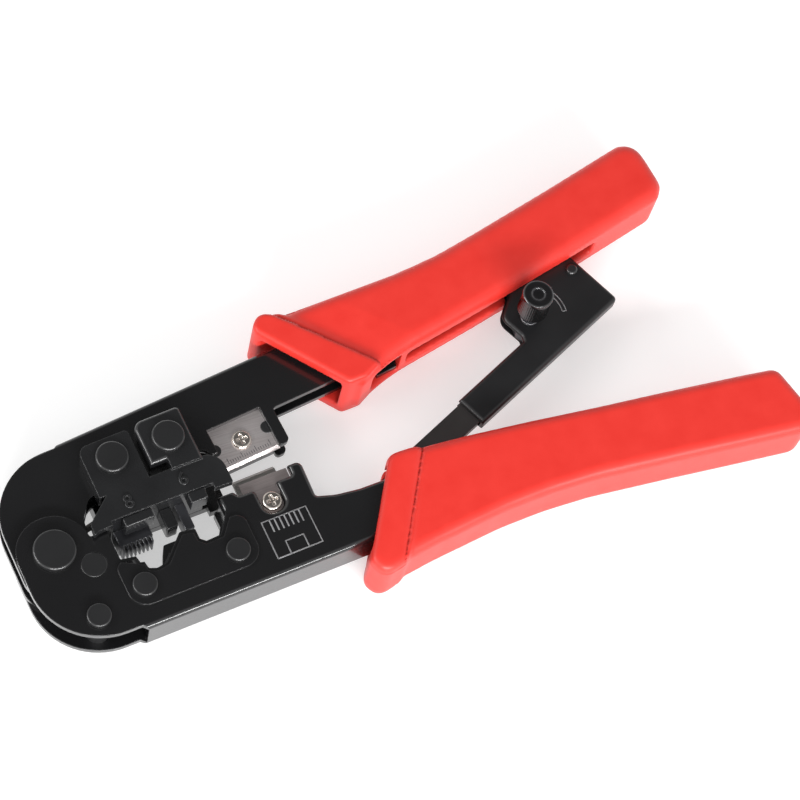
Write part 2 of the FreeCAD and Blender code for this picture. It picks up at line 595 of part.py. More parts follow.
# ---------------------------------------------------------------- moulded grips
UPPER_INNER_EDGE = [(84.6, 11.8), (90.1, 14.9), (103.5, 17.1), (120.2, 19.9), (148.7, 25.1),
                    (176.3, 30.7)]
UPPER_OUTER_EDGE = [(171.5, 48.0), (150.5, 43.4), (127.3, 38.9), (116.0, 36.9), (104.9, 36.0),
                    (73.4, 35.7)]
LOWER_INNER_EDGE = [(88.0, -8.3), (101.7, -9.9), (117.7, -12.3), (133.9, -15.0), (150.3, -17.5),
                    (172.5, -21.1), (178.5, -22.2)]
LOWER_OUTER_EDGE = [(176.0, -39.9), (165.0, -38.2), (148.0, -35.4), (126.0, -32.0), (114.0, -31.0),
                    (102.0, -30.9), (83.0, -32.2), (72.6, -33.4)]


def grip_shell(label, inner_edge, tail, outer_edge, collar, rooms):
    """A grip: long outline with a rounded skin, a thicker collar, and rooms cut inside it."""
    body = new_body(label)
    outline = rounded([inner_edge[0]] + [(x, y, 60.0) for x, y in inner_edge[1:-1]] + tail
                      + [(x, y, 60.0) for x, y in outer_edge[1:-1]] + [outer_edge[-1]])
    pad(body, drawn(body, [outline], "-sizes.grip_width / 2"), "sizes.grip_width")
    box = body.Shape.BoundBox
    rims = edges_where(body.Shape, lambda e: (is_level(e, box.ZMin) or is_level(e, box.ZMax))
                       and (e.Length > 30 and e.BoundBox.XLength > 25 or e.BoundBox.XMin > 150))
    dressed(body, "Fillet", rims, 2.6)
    pad(body, drawn(body, [rounded(collar)], "-sizes.collar_width / 2"), "sizes.collar_width")
    box = body.Shape.BoundBox
    rims = edges_where(body.Shape, lambda e: is_level(e, box.ZMin) or is_level(e, box.ZMax))
    dressed(body, "Fillet", rims, 0.8)
    for loop, half in rooms:
        pocket(body, drawn(body, [rounded(loop)], f"-({half})"), f"2 * ({half})")
    return body


upper_tail = [(176.6, 30.8, 4.0), (179.0, 34.0, 4.0), (178.2, 49.2, 5.0)]
upper_collar = [(80.4, 12.2, 1.6), (85.2, 12.2, 1.2), (90.6, 14.9, 0.5), (73.0, 36.3, 1.0),
                (67.5, 37.0, 2.6), (64.3, 34.0, 2.5)]
upper_mouth_room = [(60.0, 13.9), (84.0, 13.9), (84.0, 17.5), (73.6, 31.8), (60.0, 31.8)]
upper_channel_room = [(60.0, 14.6), (88.2, 16.6), (161.0, 30.2), (161.0, 43.0), (87.8, 31.5),
                      (60.0, 29.4)]
link_room = [(99.0, 12.0), (99.0, 22.0), (156.6, 34.5), (156.6, 22.0)]
small_slot = [(88.2, 13.0), (97.0, 13.0), (97.0, 20.0), (88.2, 20.0)]
upper_grip = grip_shell("upper_grip", UPPER_INNER_EDGE, upper_tail, UPPER_OUTER_EDGE,
                        upper_collar,
                        [(upper_channel_room, UPPER_HALF),
                         (link_room, "sizes.sleeve_width / 2 + 0.3"),
                         (upper_mouth_room, f"{UPPER_HALF} + 1.6"), (small_slot, UPPER_HALF)])

lower_tail = [(181.2, -22.7, 3.0), (183.6, -34.5, 4.0), (181.5, -40.8, 4.0)]
lower_collar = [(81.3, -7.6, 2.2), (90.2, -8.1, 0.8), (74.2, -33.8, 1.5), (67.6, -35.2, 3.0),
                (65.4, -30.6, 2.5)]
lower_mouth_room = [(60.0, -9.8), (86.0, -9.8), (86.0, -14.0), (77.0, -27.4), (60.0, -27.4)]
lower_channel_room = [(60.0, -12.0), (88.0, -12.1), (166.0, -23.5), (166.0, -34.6),
                      (88.0, -25.6), (60.0, -25.4)]
bar_room = [(74.0, -5.0), (159.0, -5.0), (159.0, -27.0), (84.0, -20.0), (74.0, -20.0)]
lower_grip = grip_shell("lower_grip", LOWER_INNER_EDGE, lower_tail, LOWER_OUTER_EDGE,
                        lower_collar,
                        [(lower_channel_room, LOWER_HALF),
                         (bar_room, "sizes.sleeve_width / 2 + 0.4"),
                         (lower_mouth_room, f"{LOWER_HALF} + 0.7")])

# ---------------------------------------------------------------- telescopic ratchet link
# Everything below is drawn in the link's own axes: X along the sleeve, Y across it.
SLEEVE_HALF = "sizes.sleeve_width / 2"
SLEEVE_INNER = "sizes.sleeve_width / 2 - sizes.sleeve_gauge"
BAR_HALF = "sizes.bar_width / 2"
sleeve_pin_local = in_link(sleeve_pin_at)
bar_pin_local = in_link(bar_pin_at)
knob_local = (29.3, 11.5)
sleeve_rivet_local = (47.4, 13.3)
length, height = size("sleeve_length"), size("sleeve_height")
head_top = sleeve_pin_local[1] + 3.6


def link_body(label):
    return new_body(label, "mid_level", size("link_foot_x"), size("link_foot_y"),
                    size("link_angle"))


ratchet_sleeve = link_body("ratchet_sleeve")
sleeve_outline = [(0, 0, 0.3), (length, 0, 1.2), (length, head_top, 4.0), (37.5, head_top, 6.0),
                  (30.0, 19.4, 4.0), (24.2, 16.4, 3.5), (24.4, 9.5, 1.0), (23.6, height, 0.3),
                  (0, height, 0.3)]
pad(ratchet_sleeve, drawn(ratchet_sleeve, [rounded(sleeve_outline)], f"-({SLEEVE_HALF})"),
    "sizes.sleeve_width")
fold = ratchet_sleeve.Shape.BoundBox


def in_link_box(edge):
    """Bounding box of an edge in the link's own axes."""
    copy = edge.copy()
    copy.transformShape(ratchet_sleeve.Placement.inverse().toMatrix())
    return copy.BoundBox


dressed(ratchet_sleeve, "Fillet", edges_where(ratchet_sleeve.Shape, lambda e: (
    (is_level(e, fold.ZMin) or is_level(e, fold.ZMax))
    and in_link_box(e).YMax < 0.01 and in_link_box(e).XLength > 20)), 1.1)
gauge = size("sleeve_gauge")
pocket(ratchet_sleeve, drawn(ratchet_sleeve, [rounded([
    (-2, gauge), (length + 2, gauge), (length + 2, head_top + 2), (-2, head_top + 2)])],
    f"-({SLEEVE_INNER})"), f"2 * ({SLEEVE_INNER})")
pocket(ratchet_sleeve, rings(ratchet_sleeve, [
    (sleeve_pin_local, "link_pin_radius", "running_gap"),
    (knob_local, "knob_shaft_radius", "running_gap"),
    (sleeve_rivet_local, "rivet_shank", None)], f"-({SLEEVE_HALF})"), "sizes.sleeve_width")

ratchet_bar = link_body("ratchet_bar")
bar_low, bar_high = 1.1, 1.1 + size("bar_height")
eye_x, eye_y = bar_pin_local
rack_start, rack_end, bar_end = 12.0, 36.0, 38.4
corners = [(bar_end, bar_high - size("rack_depth"), 0.3), (bar_end, bar_low, 0.5),
           (eye_x + 9.0, bar_low, 4.0), (eye_x + 2.5, eye_y - 3.6, 2.5),
           (eye_x - 3.6, eye_y - 3.6, 3.5), (eye_x - 3.6, eye_y + 3.6, 3.5),
           (eye_x + 8.0, bar_high, 6.0), (rack_start, bar_high)]
teeth = int((rack_end - rack_start) / size("rack_pitch"))
for tooth in range(teeth):
    crest = rack_start + (tooth + 1) * size("rack_pitch")
    corners += [(crest - size("rack_pitch"), bar_high - size("rack_depth")), (crest, bar_high)]
corners += [(crest, bar_high - size("rack_depth"))]
pad(ratchet_bar, drawn(ratchet_bar, [rounded(corners)], f"-({BAR_HALF})"), "sizes.bar_width")
pocket(ratchet_bar, rings(ratchet_bar, [(bar_pin_local, "link_pin_radius", "open_pivot_gap")],
                          f"-({BAR_HALF})"), "sizes.bar_width")

sleeve_pivot_pin = pins("sleeve_pivot_pin", [sleeve_pin_at], [
    (f"-({UPPER_HALF})", "sizes.upper_width", "link_pin_radius")])
bar_pivot_pin = pins("bar_pivot_pin", [bar_pin_at], [
    (f"-({LOWER_HALF})", "sizes.lower_width", "link_pin_radius")])


def link_pins(label, at, layers, rounding=0.0):
    """Pins standing in the link's own axes."""
    body = link_body(label)
    for lift, tall, radius in layers:
        pad(body, discs(body, [at], radius, lift), tall)
    if rounding:
        top = body.Shape.BoundBox.ZMax
        dressed(body, "Fillet", edges_where(body.Shape, lambda e: is_level(e, top)), rounding)
    return body


sleeve_rivet = link_pins("sleeve_rivet", sleeve_rivet_local, [
    (f"-({SLEEVE_HALF})", "sizes.sleeve_width", "rivet_shank"),
    (f"-({SLEEVE_INNER})", f"2 * ({SLEEVE_INNER})", "rivet_head"),
    (SLEEVE_HALF, "0.8", "rivet_head")], 0.6)

knob_shaft = link_pins("knob_shaft", knob_local, [
    (f"-({SLEEVE_HALF}) - 0.5", "sizes.knob_top_level - sizes.mid_level - 2 +"
     f" {SLEEVE_HALF} + 0.5", "knob_shaft_radius"),
    (f"{SLEEVE_HALF} + 0.3", "0.8", "knob_foot_radius")])
KNOB_FOOT = "sizes.knob_top_level - sizes.mid_level - sizes.knob_height"
release_knob = link_pins("release_knob", knob_local, [
    (KNOB_FOOT, "sizes.knob_height", "knob_radius")])
pocket(release_knob, discs(release_knob, [knob_local], "knob_shaft_radius", KNOB_FOOT),
       "sizes.knob_height - 2")
knob_top = release_knob.Shape.BoundBox.ZMax
dressed(release_knob, "Fillet", edges_where(release_knob.Shape, lambda e: (
    is_level(e, knob_top) and e.Length > 20)), 0.8)

pawl = link_body("pawl")
kx, ky = knob_local
pawl_outline = [(kx + 3.2, ky + 2.6, 1.5), (kx + 3.2, ky - 2.4, 1.5), (kx - 1.4, ky - 2.9, 0.5),
                (kx - 2.9, bar_high + 0.15), (kx - 4.4, bar_high + 0.15), (kx - 4.9, ky - 0.6, 0.8),
                (kx - 3.2, ky + 2.6, 1.5)]
pad(pawl, drawn(pawl, [rounded(pawl_outline)], f"-({BAR_HALF})"), "sizes.bar_width")
pocket(pawl, discs(pawl, [knob_local], "knob_shaft_radius", f"-({BAR_HALF})"), "9")

# Leaf that pushes the pawl, lying between the sleeve's cheeks.
pawl_spring = link_body("pawl_spring")
spring_loop = rounded([(kx + 4.2, ky + 1.4), (kx + 14.0, ky + 2.6), (kx + 14.0, ky + 3.0),
                       (kx + 4.2, ky + 1.8)])
pad(pawl_spring, drawn(pawl_spring, [spring_loop], "-0.35"), "0.7")

doc.recompute()
os.makedirs("parts", exist_ok=True)
for item in doc.Objects:
    if "Invalid" in item.State or "Error" in item.State:
        raise RuntimeError(f"{item.Name} failed: {item.State}")
nodes = [item for item in doc.Objects if item.TypeId == "PartDesign::Body"]
for body in nodes:
    if body.Shape.isNull() or not body.Shape.isValid():
        raise RuntimeError(f"{body.Label} has no valid shape")
    body.Shape.exportStep(f"parts/{body.Label}.step")
    box = body.Shape.BoundBox
    print(f"{body.Label:24s} solids {len(body.Shape.Solids)} z {box.ZMin:.2f}..{box.ZMax:.2f}")
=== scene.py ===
import math

import bpy
from mathutils import Matrix, Vector


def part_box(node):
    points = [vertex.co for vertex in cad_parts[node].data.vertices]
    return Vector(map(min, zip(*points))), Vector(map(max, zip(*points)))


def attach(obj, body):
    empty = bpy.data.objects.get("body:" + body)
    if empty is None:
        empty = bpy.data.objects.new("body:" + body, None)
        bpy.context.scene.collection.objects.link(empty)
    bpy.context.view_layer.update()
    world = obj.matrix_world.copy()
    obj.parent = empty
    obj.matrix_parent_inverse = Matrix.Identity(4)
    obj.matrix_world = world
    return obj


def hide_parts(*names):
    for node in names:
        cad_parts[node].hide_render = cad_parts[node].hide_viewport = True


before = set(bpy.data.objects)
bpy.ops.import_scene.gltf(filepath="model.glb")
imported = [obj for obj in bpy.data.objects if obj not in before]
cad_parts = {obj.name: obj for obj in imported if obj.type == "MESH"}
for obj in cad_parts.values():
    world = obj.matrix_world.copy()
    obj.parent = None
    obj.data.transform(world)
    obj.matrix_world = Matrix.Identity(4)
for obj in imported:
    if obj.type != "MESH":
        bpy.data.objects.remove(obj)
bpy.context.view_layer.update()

# ---------------------------------------------------------------- lower frame
# The body of the tool: one sheet of 1.5 mm steel folded into a channel, with both plug windows
# punched through its cheeks.  Its edges are tumbled soft and it is dipped in glossy black lacquer.
MM = 0.001
SAME_POINT = 0.01 * MM

# An edge is rounded where it turns more than SHARP_ANGLE degrees, and shaded smooth up to the other.
SHARP_ANGLE = 34
SMOOTH_ANGLE = 32
FRAME_EDGE = 0.32


def alone(piece):
    """Only this piece is selected and active."""
    bpy.ops.object.select_all(action="DESELECT")
    piece.select_set(True)
    bpy.context.view_layer.objects.active = piece


def cad_copy(node, name):
    """A merged copy of a CAD node's mesh, ready to be worked on."""
    piece = bpy.data.objects.new(name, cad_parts[node].data.copy())
    bpy.context.scene.collection.objects.link(piece)
    alone(piece)
    bpy.ops.mesh.customdata_custom_splitnormals_clear()
    bpy.ops.object.mode_set(mode="EDIT")
    bpy.ops.mesh.select_all(action="SELECT")
    bpy.ops.mesh.remove_doubles(threshold=SAME_POINT)
    bpy.ops.object.mode_set(mode="OBJECT")
    return piece


def modified(piece, kind, **settings):
    """Adds a modifier with these settings and applies it."""
    alone(piece)
    modifier = piece.modifiers.new(kind.lower(), kind)
    for name, value in settings.items():
        setattr(modifier, name, value)
    bpy.ops.object.modifier_apply(modifier=modifier.name)


def smooth_shaded(piece, angle=SMOOTH_ANGLE):
    """Smooth shading, with edges that turn more than the angle in degrees left sharp."""
    alone(piece)
    bpy.ops.object.shade_smooth_by_angle(angle=math.radians(angle))


def placed(piece, material, slot, body, *nodes):
    """Gives a piece its finish and its body, and hides the CAD nodes that it stands for."""
    piece.data.materials.clear()
    piece.data.materials.append(material)
    if nodes:
        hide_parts(*nodes)
    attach(piece, body)
    return piece


def soft_edged(node, material, slot, body, width, segments=2):
    """A copy of a CAD node whose sharp edges are rounded, by a width in millimetres."""
    piece = cad_copy(node, f"{node}_worn")
    bpy.ops.object.mode_set(mode="EDIT")
    bpy.ops.mesh.select_all(action="SELECT")
    bpy.ops.mesh.dissolve_limited(angle_limit=math.radians(1))
    bpy.ops.object.mode_set(mode="OBJECT")
    modified(piece, "BEVEL", width=width * MM, segments=segments, limit_method="ANGLE",
             angle_limit=math.radians(SHARP_ANGLE), use_clamp_overlap=True)
    smooth_shaded(piece)
    modified(piece, "WEIGHTED_NORMAL", keep_sharp=True, weight=60)
    return placed(piece, material, slot, body, node)


def put(tree, kind, inputs, **settings):
    """Adds a shader node; an input is given a value, or the socket that feeds it."""
    node = tree.nodes.new("ShaderNode" + kind)
    for name, value in settings.items():
        setattr(node, name, value)
    for name, value in inputs.items():
        if isinstance(value, bpy.types.NodeSocket):
            tree.links.new(value, node.inputs[name])
        else:
            node.inputs[name].default_value = value
    return node


def new_group(name, inputs, outputs):
    """An empty shader node group with float inputs and outputs."""
    group = bpy.data.node_groups.new(name, "ShaderNodeTree")
    for label, value in inputs.items():
        socket = group.interface.new_socket(label, in_out="INPUT", socket_type="NodeSocketFloat")
        socket.default_value = value
    for label in outputs:
        group.interface.new_socket(label, in_out="OUTPUT", socket_type="NodeSocketFloat")
    return group, group.nodes.new("NodeGroupInput"), group.nodes.new("NodeGroupOutput")


# Fine and broad unevenness of a surface; Scale is how many fine grains lie along a metre.
surface_grain, given, result = new_group("surface_grain", {"Scale": 1000.0}, ["Fine", "Broad"])
where = put(surface_grain, "TexCoord", {}).outputs["Object"]
fine = put(surface_grain, "TexNoise", {"Vector": where, "Scale": given.outputs["Scale"],
                                       "Detail": 4.0, "Roughness": 0.6})
wide = put(surface_grain, "Math", {0: given.outputs["Scale"], 1: 0.07}, operation="MULTIPLY")
broad = put(surface_grain, "TexNoise", {"Vector": where, "Scale": wide.outputs[0], "Detail": 3.0})
surface_grain.links.new(fine.outputs["Fac"], result.inputs["Fine"])
surface_grain.links.new(broad.outputs["Fac"], result.inputs["Broad"])

# Edges that handling has rubbed and rounded: the mask is strongest where the surface turns
# sharply, broken up by grain, and Round is the softened normal.
edge_rub, given, result = new_group("edge_rub", {"Radius": 0.0004, "Wear": 0.5}, ["Mask"])
edge_rub.interface.new_socket("Round", in_out="OUTPUT", socket_type="NodeSocketVector")
turned = put(edge_rub, "Bevel", {"Radius": given.outputs["Radius"]}, samples=6)
edge_rub.links.new(turned.outputs[0], result.inputs["Round"])
straight = put(edge_rub, "NewGeometry", {})
likeness = put(edge_rub, "VectorMath", {0: turned.outputs[0], 1: straight.outputs["Normal"]},
               operation="DOT_PRODUCT")
sharp = put(edge_rub, "MapRange", {"Value": likeness.outputs["Value"], "From Min": 0.995,
                                   "From Max": 0.86, "To Min": 0.0, "To Max": 1.0})
patchy = put(edge_rub, "TexNoise", {"Vector": put(edge_rub, "TexCoord", {}).outputs["Object"],
                                    "Scale": 420.0, "Detail": 5.0})
threshold = put(edge_rub, "MapRange", {"Value": patchy.outputs["Fac"], "From Min": 0.42,
                                       "From Max": 0.62})
mask = put(edge_rub, "Math", {0: sharp.outputs[0], 1: threshold.outputs[0]}, operation="MULTIPLY")
mask = put(edge_rub, "Math", {0: mask.outputs[0], 1: given.outputs["Wear"]}, operation="MULTIPLY",
           use_clamp=True)
edge_rub.links.new(mask.outputs[0], result.inputs["Mask"])

# Tiny specks of dust and grit: a few cells of a pattern hold one each.
dust_specks, given, result = new_group("dust_specks", {"Scale": 700.0, "Cover": 0.03}, ["Mask"])
cells = put(dust_specks, "TexVoronoi", {
    "Vector": put(dust_specks, "TexCoord", {}).outputs["Object"], "Scale": given.outputs["Scale"]})
chosen = put(dust_specks, "Math", {0: cells.outputs["Color"], 1: given.outputs["Cover"]},
             operation="LESS_THAN")
small = put(dust_specks, "MapRange", {"Value": cells.outputs["Distance"], "From Min": 0.22,
                                      "From Max": 0.12})
mask = put(dust_specks, "Math", {0: chosen.outputs[0], 1: small.outputs[0]}, operation="MULTIPLY")
dust_specks.links.new(mask.outputs[0], result.inputs["Mask"])


def use_group(tree, group, **inputs):
    """Places a node group in a material, with its own values."""
    node = tree.nodes.new("ShaderNodeGroup")
    node.node_tree = group
    for name, value in inputs.items():
        node.inputs[name].default_value = value
    return node


def mixed_colour(tree, factor, first, second):
    """Colour that goes from the first to the second as the factor goes from 0 to 1."""
    return put(tree, "Mix", {0: factor, 6: first, 7: second}, data_type="RGBA").outputs[2]


def ranged(tree, value, low, high):
    """A 0 to 1 value mapped from low to high."""
    return put(tree, "MapRange", {"Value": value, "To Min": low, "To Max": high}).outputs[0]


DUST_GREY = (0.16, 0.15, 0.14)


def finish_of(name, colour, bright, rub_colour, roughness, grain, bump, specks=0.0, wear=0.5,
              **shader):
    """A material with grain in its colour, roughness and bump, rubbed edges and specks of dust.

    colour and bright are the two ends of its unevenness, roughness is a (low, high) pair,
    grain says how many grains lie along a metre, and bump is a grain's height in millimetres.
    Further values go to the shader's own sockets of those names.
    """
    material = bpy.data.materials.new(name)
    material.use_nodes = True
    tree = material.node_tree
    surface = tree.nodes["Principled BSDF"]
    for socket, value in shader.items():
        surface.inputs[socket.replace("_", " ").title()].default_value = value
    texture = use_group(tree, surface_grain, Scale=grain)
    edges = use_group(tree, edge_rub, Wear=wear)
    shade = mixed_colour(tree, texture.outputs["Broad"], (*colour, 1), (*bright, 1))
    shade = mixed_colour(tree, edges.outputs["Mask"], shade, (*rub_colour, 1))
    rough = ranged(tree, texture.outputs["Broad"], *roughness)
    if specks:
        dust = use_group(tree, dust_specks, Cover=specks).outputs["Mask"]
        shade = mixed_colour(tree, dust, shade, (*DUST_GREY, 1))
        rough = put(tree, "Math", {0: rough, 1: dust}, operation="ADD", use_clamp=True).outputs[0]
    tree.links.new(shade, surface.inputs["Base Color"])
    tree.links.new(rough, surface.inputs["Roughness"])
    relief = put(tree, "Bump", {"Height": texture.outputs["Fine"], "Distance": bump * MM,
                                "Strength": 1.0, "Normal": edges.outputs["Round"]})
    tree.links.new(relief.outputs[0], surface.inputs["Normal"])
    return material


lacquer = finish_of(
    "black_lacquer", colour=(0.0045, 0.0045, 0.005), bright=(0.0085, 0.0085, 0.009),
    rub_colour=(0.045, 0.045, 0.047), roughness=(0.12, 0.24), grain=620.0, bump=0.010,
    specks=0.012, wear=0.4, coat_weight=0.5, coat_roughness=0.08)
soft_edged("lower_frame", lacquer, "frame_coat", "lower", width=FRAME_EDGE, segments=3)

# ---------------------------------------------------------------- upper frame
# The moving jaw and handle: the same folded and lacquered sheet, narrower, so that it runs
# between the cheeks of the lower frame.
soft_edged("upper_frame", lacquer, "frame_coat", "upper", width=FRAME_EDGE, segments=3)

# ---------------------------------------------------------------- rivets and pins
# Headed steel rivets, blackened and thinly lacquered with the frame.  The big one is the pivot;
# the stop pin beside it is only staked and stands barely proud.
blackened = finish_of(
    "blackened_rivet", colour=(0.008, 0.008, 0.0085), bright=(0.016, 0.0163, 0.017),
    rub_colour=(0.06, 0.058, 0.056), roughness=(0.22, 0.38), grain=900.0, bump=0.012, specks=0.008,
    wear=0.4, coat_weight=0.7, coat_roughness=0.08)
for node, body in (("main_pivot_rivet", "lower"), ("nose_spacer_rivet", "lower"),
                   ("lower_die_rivets", "lower"), ("upper_die_rivets", "upper"),
                   ("blade_pins", "upper")):
    soft_edged(node, blackened, "rivet_black", body, width=0.14)


def dressed(node, material):
    """Gives this finish to a CAD node that is shown as it is."""
    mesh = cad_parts[node].data
    mesh.materials.clear()
    mesh.materials.append(material)


for node in ("stop_pin", "sleeve_pivot_pin", "bar_pivot_pin", "sleeve_rivet"):
    dressed(node, blackened)

# ---------------------------------------------------------------- opening spring
# A strip of oiled spring steel, bent round the pivot between the cheeks, opens the handles.  The
# pawl's small leaf spring inside the sleeve is cut from the same steel.
oiled_spring = finish_of(
    "oiled_spring", colour=(0.16, 0.155, 0.15), bright=(0.26, 0.25, 0.24),
    rub_colour=(0.45, 0.44, 0.42), roughness=(0.28, 0.42), grain=1500.0, bump=0.01, metallic=1.0)
dressed("return_spring", oiled_spring)
dressed("pawl_spring", oiled_spring)

# ---------------------------------------------------------------- lower dies
# A cast steel block between the cheeks forms the nests for the plugs, and a thin plate stands on
# the front face.  Both are blackened over the cast grain.
cast_black = finish_of(
    "cast_black", colour=(0.006, 0.006, 0.0065), bright=(0.014, 0.0145, 0.0155),
    rub_colour=(0.055, 0.055, 0.058), roughness=(0.20, 0.36), grain=1500.0, bump=0.02, specks=0.03,
    wear=0.5, coat_weight=0.5, coat_roughness=0.1)
soft_edged("lower_die_block", cast_black, "die_steel", "lower", width=0.14)
soft_edged("lower_die_plate", lacquer, "die_steel", "lower", width=0.24, segments=3)

# ---------------------------------------------------------------- upper dies
# One black casting carries the bar and both ears on the front face, and its other half stands on
# the back.  Both are riveted through the frame, and each nest's plug size is cast on the bar.
soft_edged("upper_die_front", cast_black, "die_steel", "upper", width=0.4, segments=4)
soft_edged("upper_die_back", cast_black, "die_steel", "upper", width=0.34, segments=3)
soft_edged("punch_carrier", cast_black, "die_steel", "upper", width=0.2)
EAR_RISE = 1.0
BAR_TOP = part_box("upper_die_front")[1].z - EAR_RISE * MM
FIGURE_HEIGHT = 4.8
FIGURE_RISE = 0.32
FIGURE_ROUND = 0.06


def raised_figure(text, x, y):
    """A figure cast on the bar, standing about a third of a millimetre proud."""
    curve = bpy.data.curves.new(f"bar_figure_{text}", "FONT")
    curve.body = text
    curve.size = FIGURE_HEIGHT * MM
    curve.extrude = FIGURE_RISE * MM
    curve.bevel_depth = FIGURE_ROUND * MM
    figure = bpy.data.objects.new(f"bar_figure_{text}", curve)
    bpy.context.scene.collection.objects.link(figure)
    alone(figure)
    bpy.ops.object.convert(target="MESH")
    figure = bpy.context.object
    bpy.ops.object.mode_set(mode="EDIT")
    bpy.ops.mesh.select_all(action="SELECT")
    bpy.ops.mesh.remove_doubles(threshold=SAME_POINT / 2)
    bpy.ops.object.mode_set(mode="OBJECT")
    figure.data.transform(Matrix.Translation((x * MM, y * MM, BAR_TOP)))
    smooth_shaded(figure, angle=40)
    return placed(figure, cast_black, "die_steel", "upper")


raised_figure("8", x=18.6, y=2.3)
raised_figure("6", x=32.4, y=2.9)

# ---------------------------------------------------------------- punches
# Punches hang below the bar: the comb that drives the eight contacts home and the small nest's
# contact punch, in bare hardened steel, then two blackened strain punches and the guide finger.
hardened = finish_of(
    "hardened_steel", colour=(0.045, 0.046, 0.052), bright=(0.085, 0.086, 0.095),
    rub_colour=(0.42, 0.42, 0.43), roughness=(0.22, 0.36), grain=1500.0, bump=0.012, wear=0.9,
    metallic=0.65)
for node in ("contact_punch_wide", "contact_punch_narrow"):
    soft_edged(node, hardened, "bare_steel", "upper", width=0.07)
for node in ("strain_punch_wide", "strain_punch_narrow"):
    soft_edged(node, cast_black, "die_steel", "upper", width=0.45, segments=4)
soft_edged("guide_finger", cast_black, "die_steel", "upper", width=0.24, segments=3)

# ---------------------------------------------------------------- blades
# Ground tool-steel blades: the upper one cuts cable and carries a small scale along its edge, and
# the lower one backs it.  Grinding leaves fine lines that run along the blade.
BLADE_TILT = 4.2
LOWER_BLADE_TILT = 1.0
BLADE_EDGE = 0.06

# How far a grinding line and a broader band run along, across and through a blade, in metres.
LINE_STRETCH = (1 / 60, 1 / 3200, 1 / 3200)
BAND_STRETCH = (1 / 25, 1 / 420, 1 / 420)


def ground_steel(name, colour, bright, tilt):
    """Ground steel whose fine lines and broad bands run along the blade, at its tilt in degrees."""
    material = bpy.data.materials.new(name)
    material.use_nodes = True
    tree = material.node_tree
    surface = tree.nodes["Principled BSDF"]
    surface.inputs["Metallic"].default_value = 0.88
    spot = put(tree, "TexCoord", {}).outputs["Object"]
    turn = (0, 0, math.radians(-tilt))
    lines = put(tree, "Mapping", {"Vector": spot, "Rotation": turn, "Scale": LINE_STRETCH},
                vector_type="TEXTURE")
    lines = put(tree, "TexNoise", {"Vector": lines.outputs[0], "Scale": 1.0, "Detail": 4.0,
                                   "Roughness": 0.65}).outputs["Fac"]
    bands = put(tree, "Mapping", {"Vector": spot, "Rotation": turn, "Scale": BAND_STRETCH},
                vector_type="TEXTURE")
    bands = put(tree, "TexNoise", {"Vector": bands.outputs[0], "Scale": 1.0,
                                   "Detail": 2.0}).outputs["Fac"]
    both = put(tree, "Math", {0: lines, 1: bands}, operation="ADD").outputs[0]
    both = put(tree, "MapRange", {"Value": both, "From Min": 0.7, "From Max": 1.3}).outputs[0]
    rub = use_group(tree, edge_rub, Radius=0.0002, Wear=0.8).outputs["Mask"]
    shade = mixed_colour(tree, both, (*colour, 1), (*bright, 1))
    shade = mixed_colour(tree, rub, shade, (0.9, 0.89, 0.88, 1))
    tree.links.new(shade, surface.inputs["Base Color"])
    tree.links.new(ranged(tree, both, 0.42, 0.28), surface.inputs["Roughness"])
    relief = put(tree, "Bump", {"Height": lines, "Distance": 0.008 * MM, "Strength": 1.0})
    tree.links.new(relief.outputs[0], surface.inputs["Normal"])
    return material


bright_blade = ground_steel(
    "bright_blade", colour=(0.56, 0.50, 0.495), bright=(0.95, 0.89, 0.88), tilt=BLADE_TILT)
dull_blade = ground_steel(
    "dull_blade", colour=(0.34, 0.29, 0.285), bright=(0.58, 0.51, 0.50), tilt=LOWER_BLADE_TILT)
bevelled_stop = ground_steel(
    "bevelled_stop", colour=(0.30, 0.285, 0.27), bright=(0.62, 0.6, 0.58), tilt=LOWER_BLADE_TILT)
soft_edged("upper_blade", bright_blade, "blade_steel", "upper", width=BLADE_EDGE)
soft_edged("lower_blade", dull_blade, "blade_steel", "lower", width=BLADE_EDGE)
soft_edged("stripping_stop", bevelled_stop, "bare_steel", "lower", width=BLADE_EDGE)
soft_edged("blade_holder", cast_black, "die_steel", "upper", width=0.3, segments=3)
soft_edged("lower_blade_block", cast_black, "die_steel", "lower", width=0.25)


def drawn_marks(name, strokes, level, width, rise):
    """Thin raised marks at a level, joined in one mesh; a stroke is a list of (x, y) points.

    Points, width and rise are in millimetres.
    """
    curve = bpy.data.curves.new(name, "CURVE")
    curve.dimensions = "3D"
    curve.bevel_depth = width / 2 * MM
    curve.bevel_resolution = 1
    curve.use_fill_caps = True
    for stroke in strokes:
        spline = curve.splines.new("POLY")
        spline.points.add(len(stroke) - 1)
        for point, (x, y) in zip(spline.points, stroke):
            point.co = (x * MM, y * MM, 0, 1)
    marks = bpy.data.objects.new(name, curve)
    bpy.context.scene.collection.objects.link(marks)
    alone(marks)
    bpy.ops.object.convert(target="MESH")
    marks = bpy.context.object
    flatten = Matrix.Diagonal((1, 1, rise / width, 1))
    marks.data.transform(Matrix.Translation((0, 0, level)) @ flatten)
    smooth_shaded(marks, angle=50)
    return marks


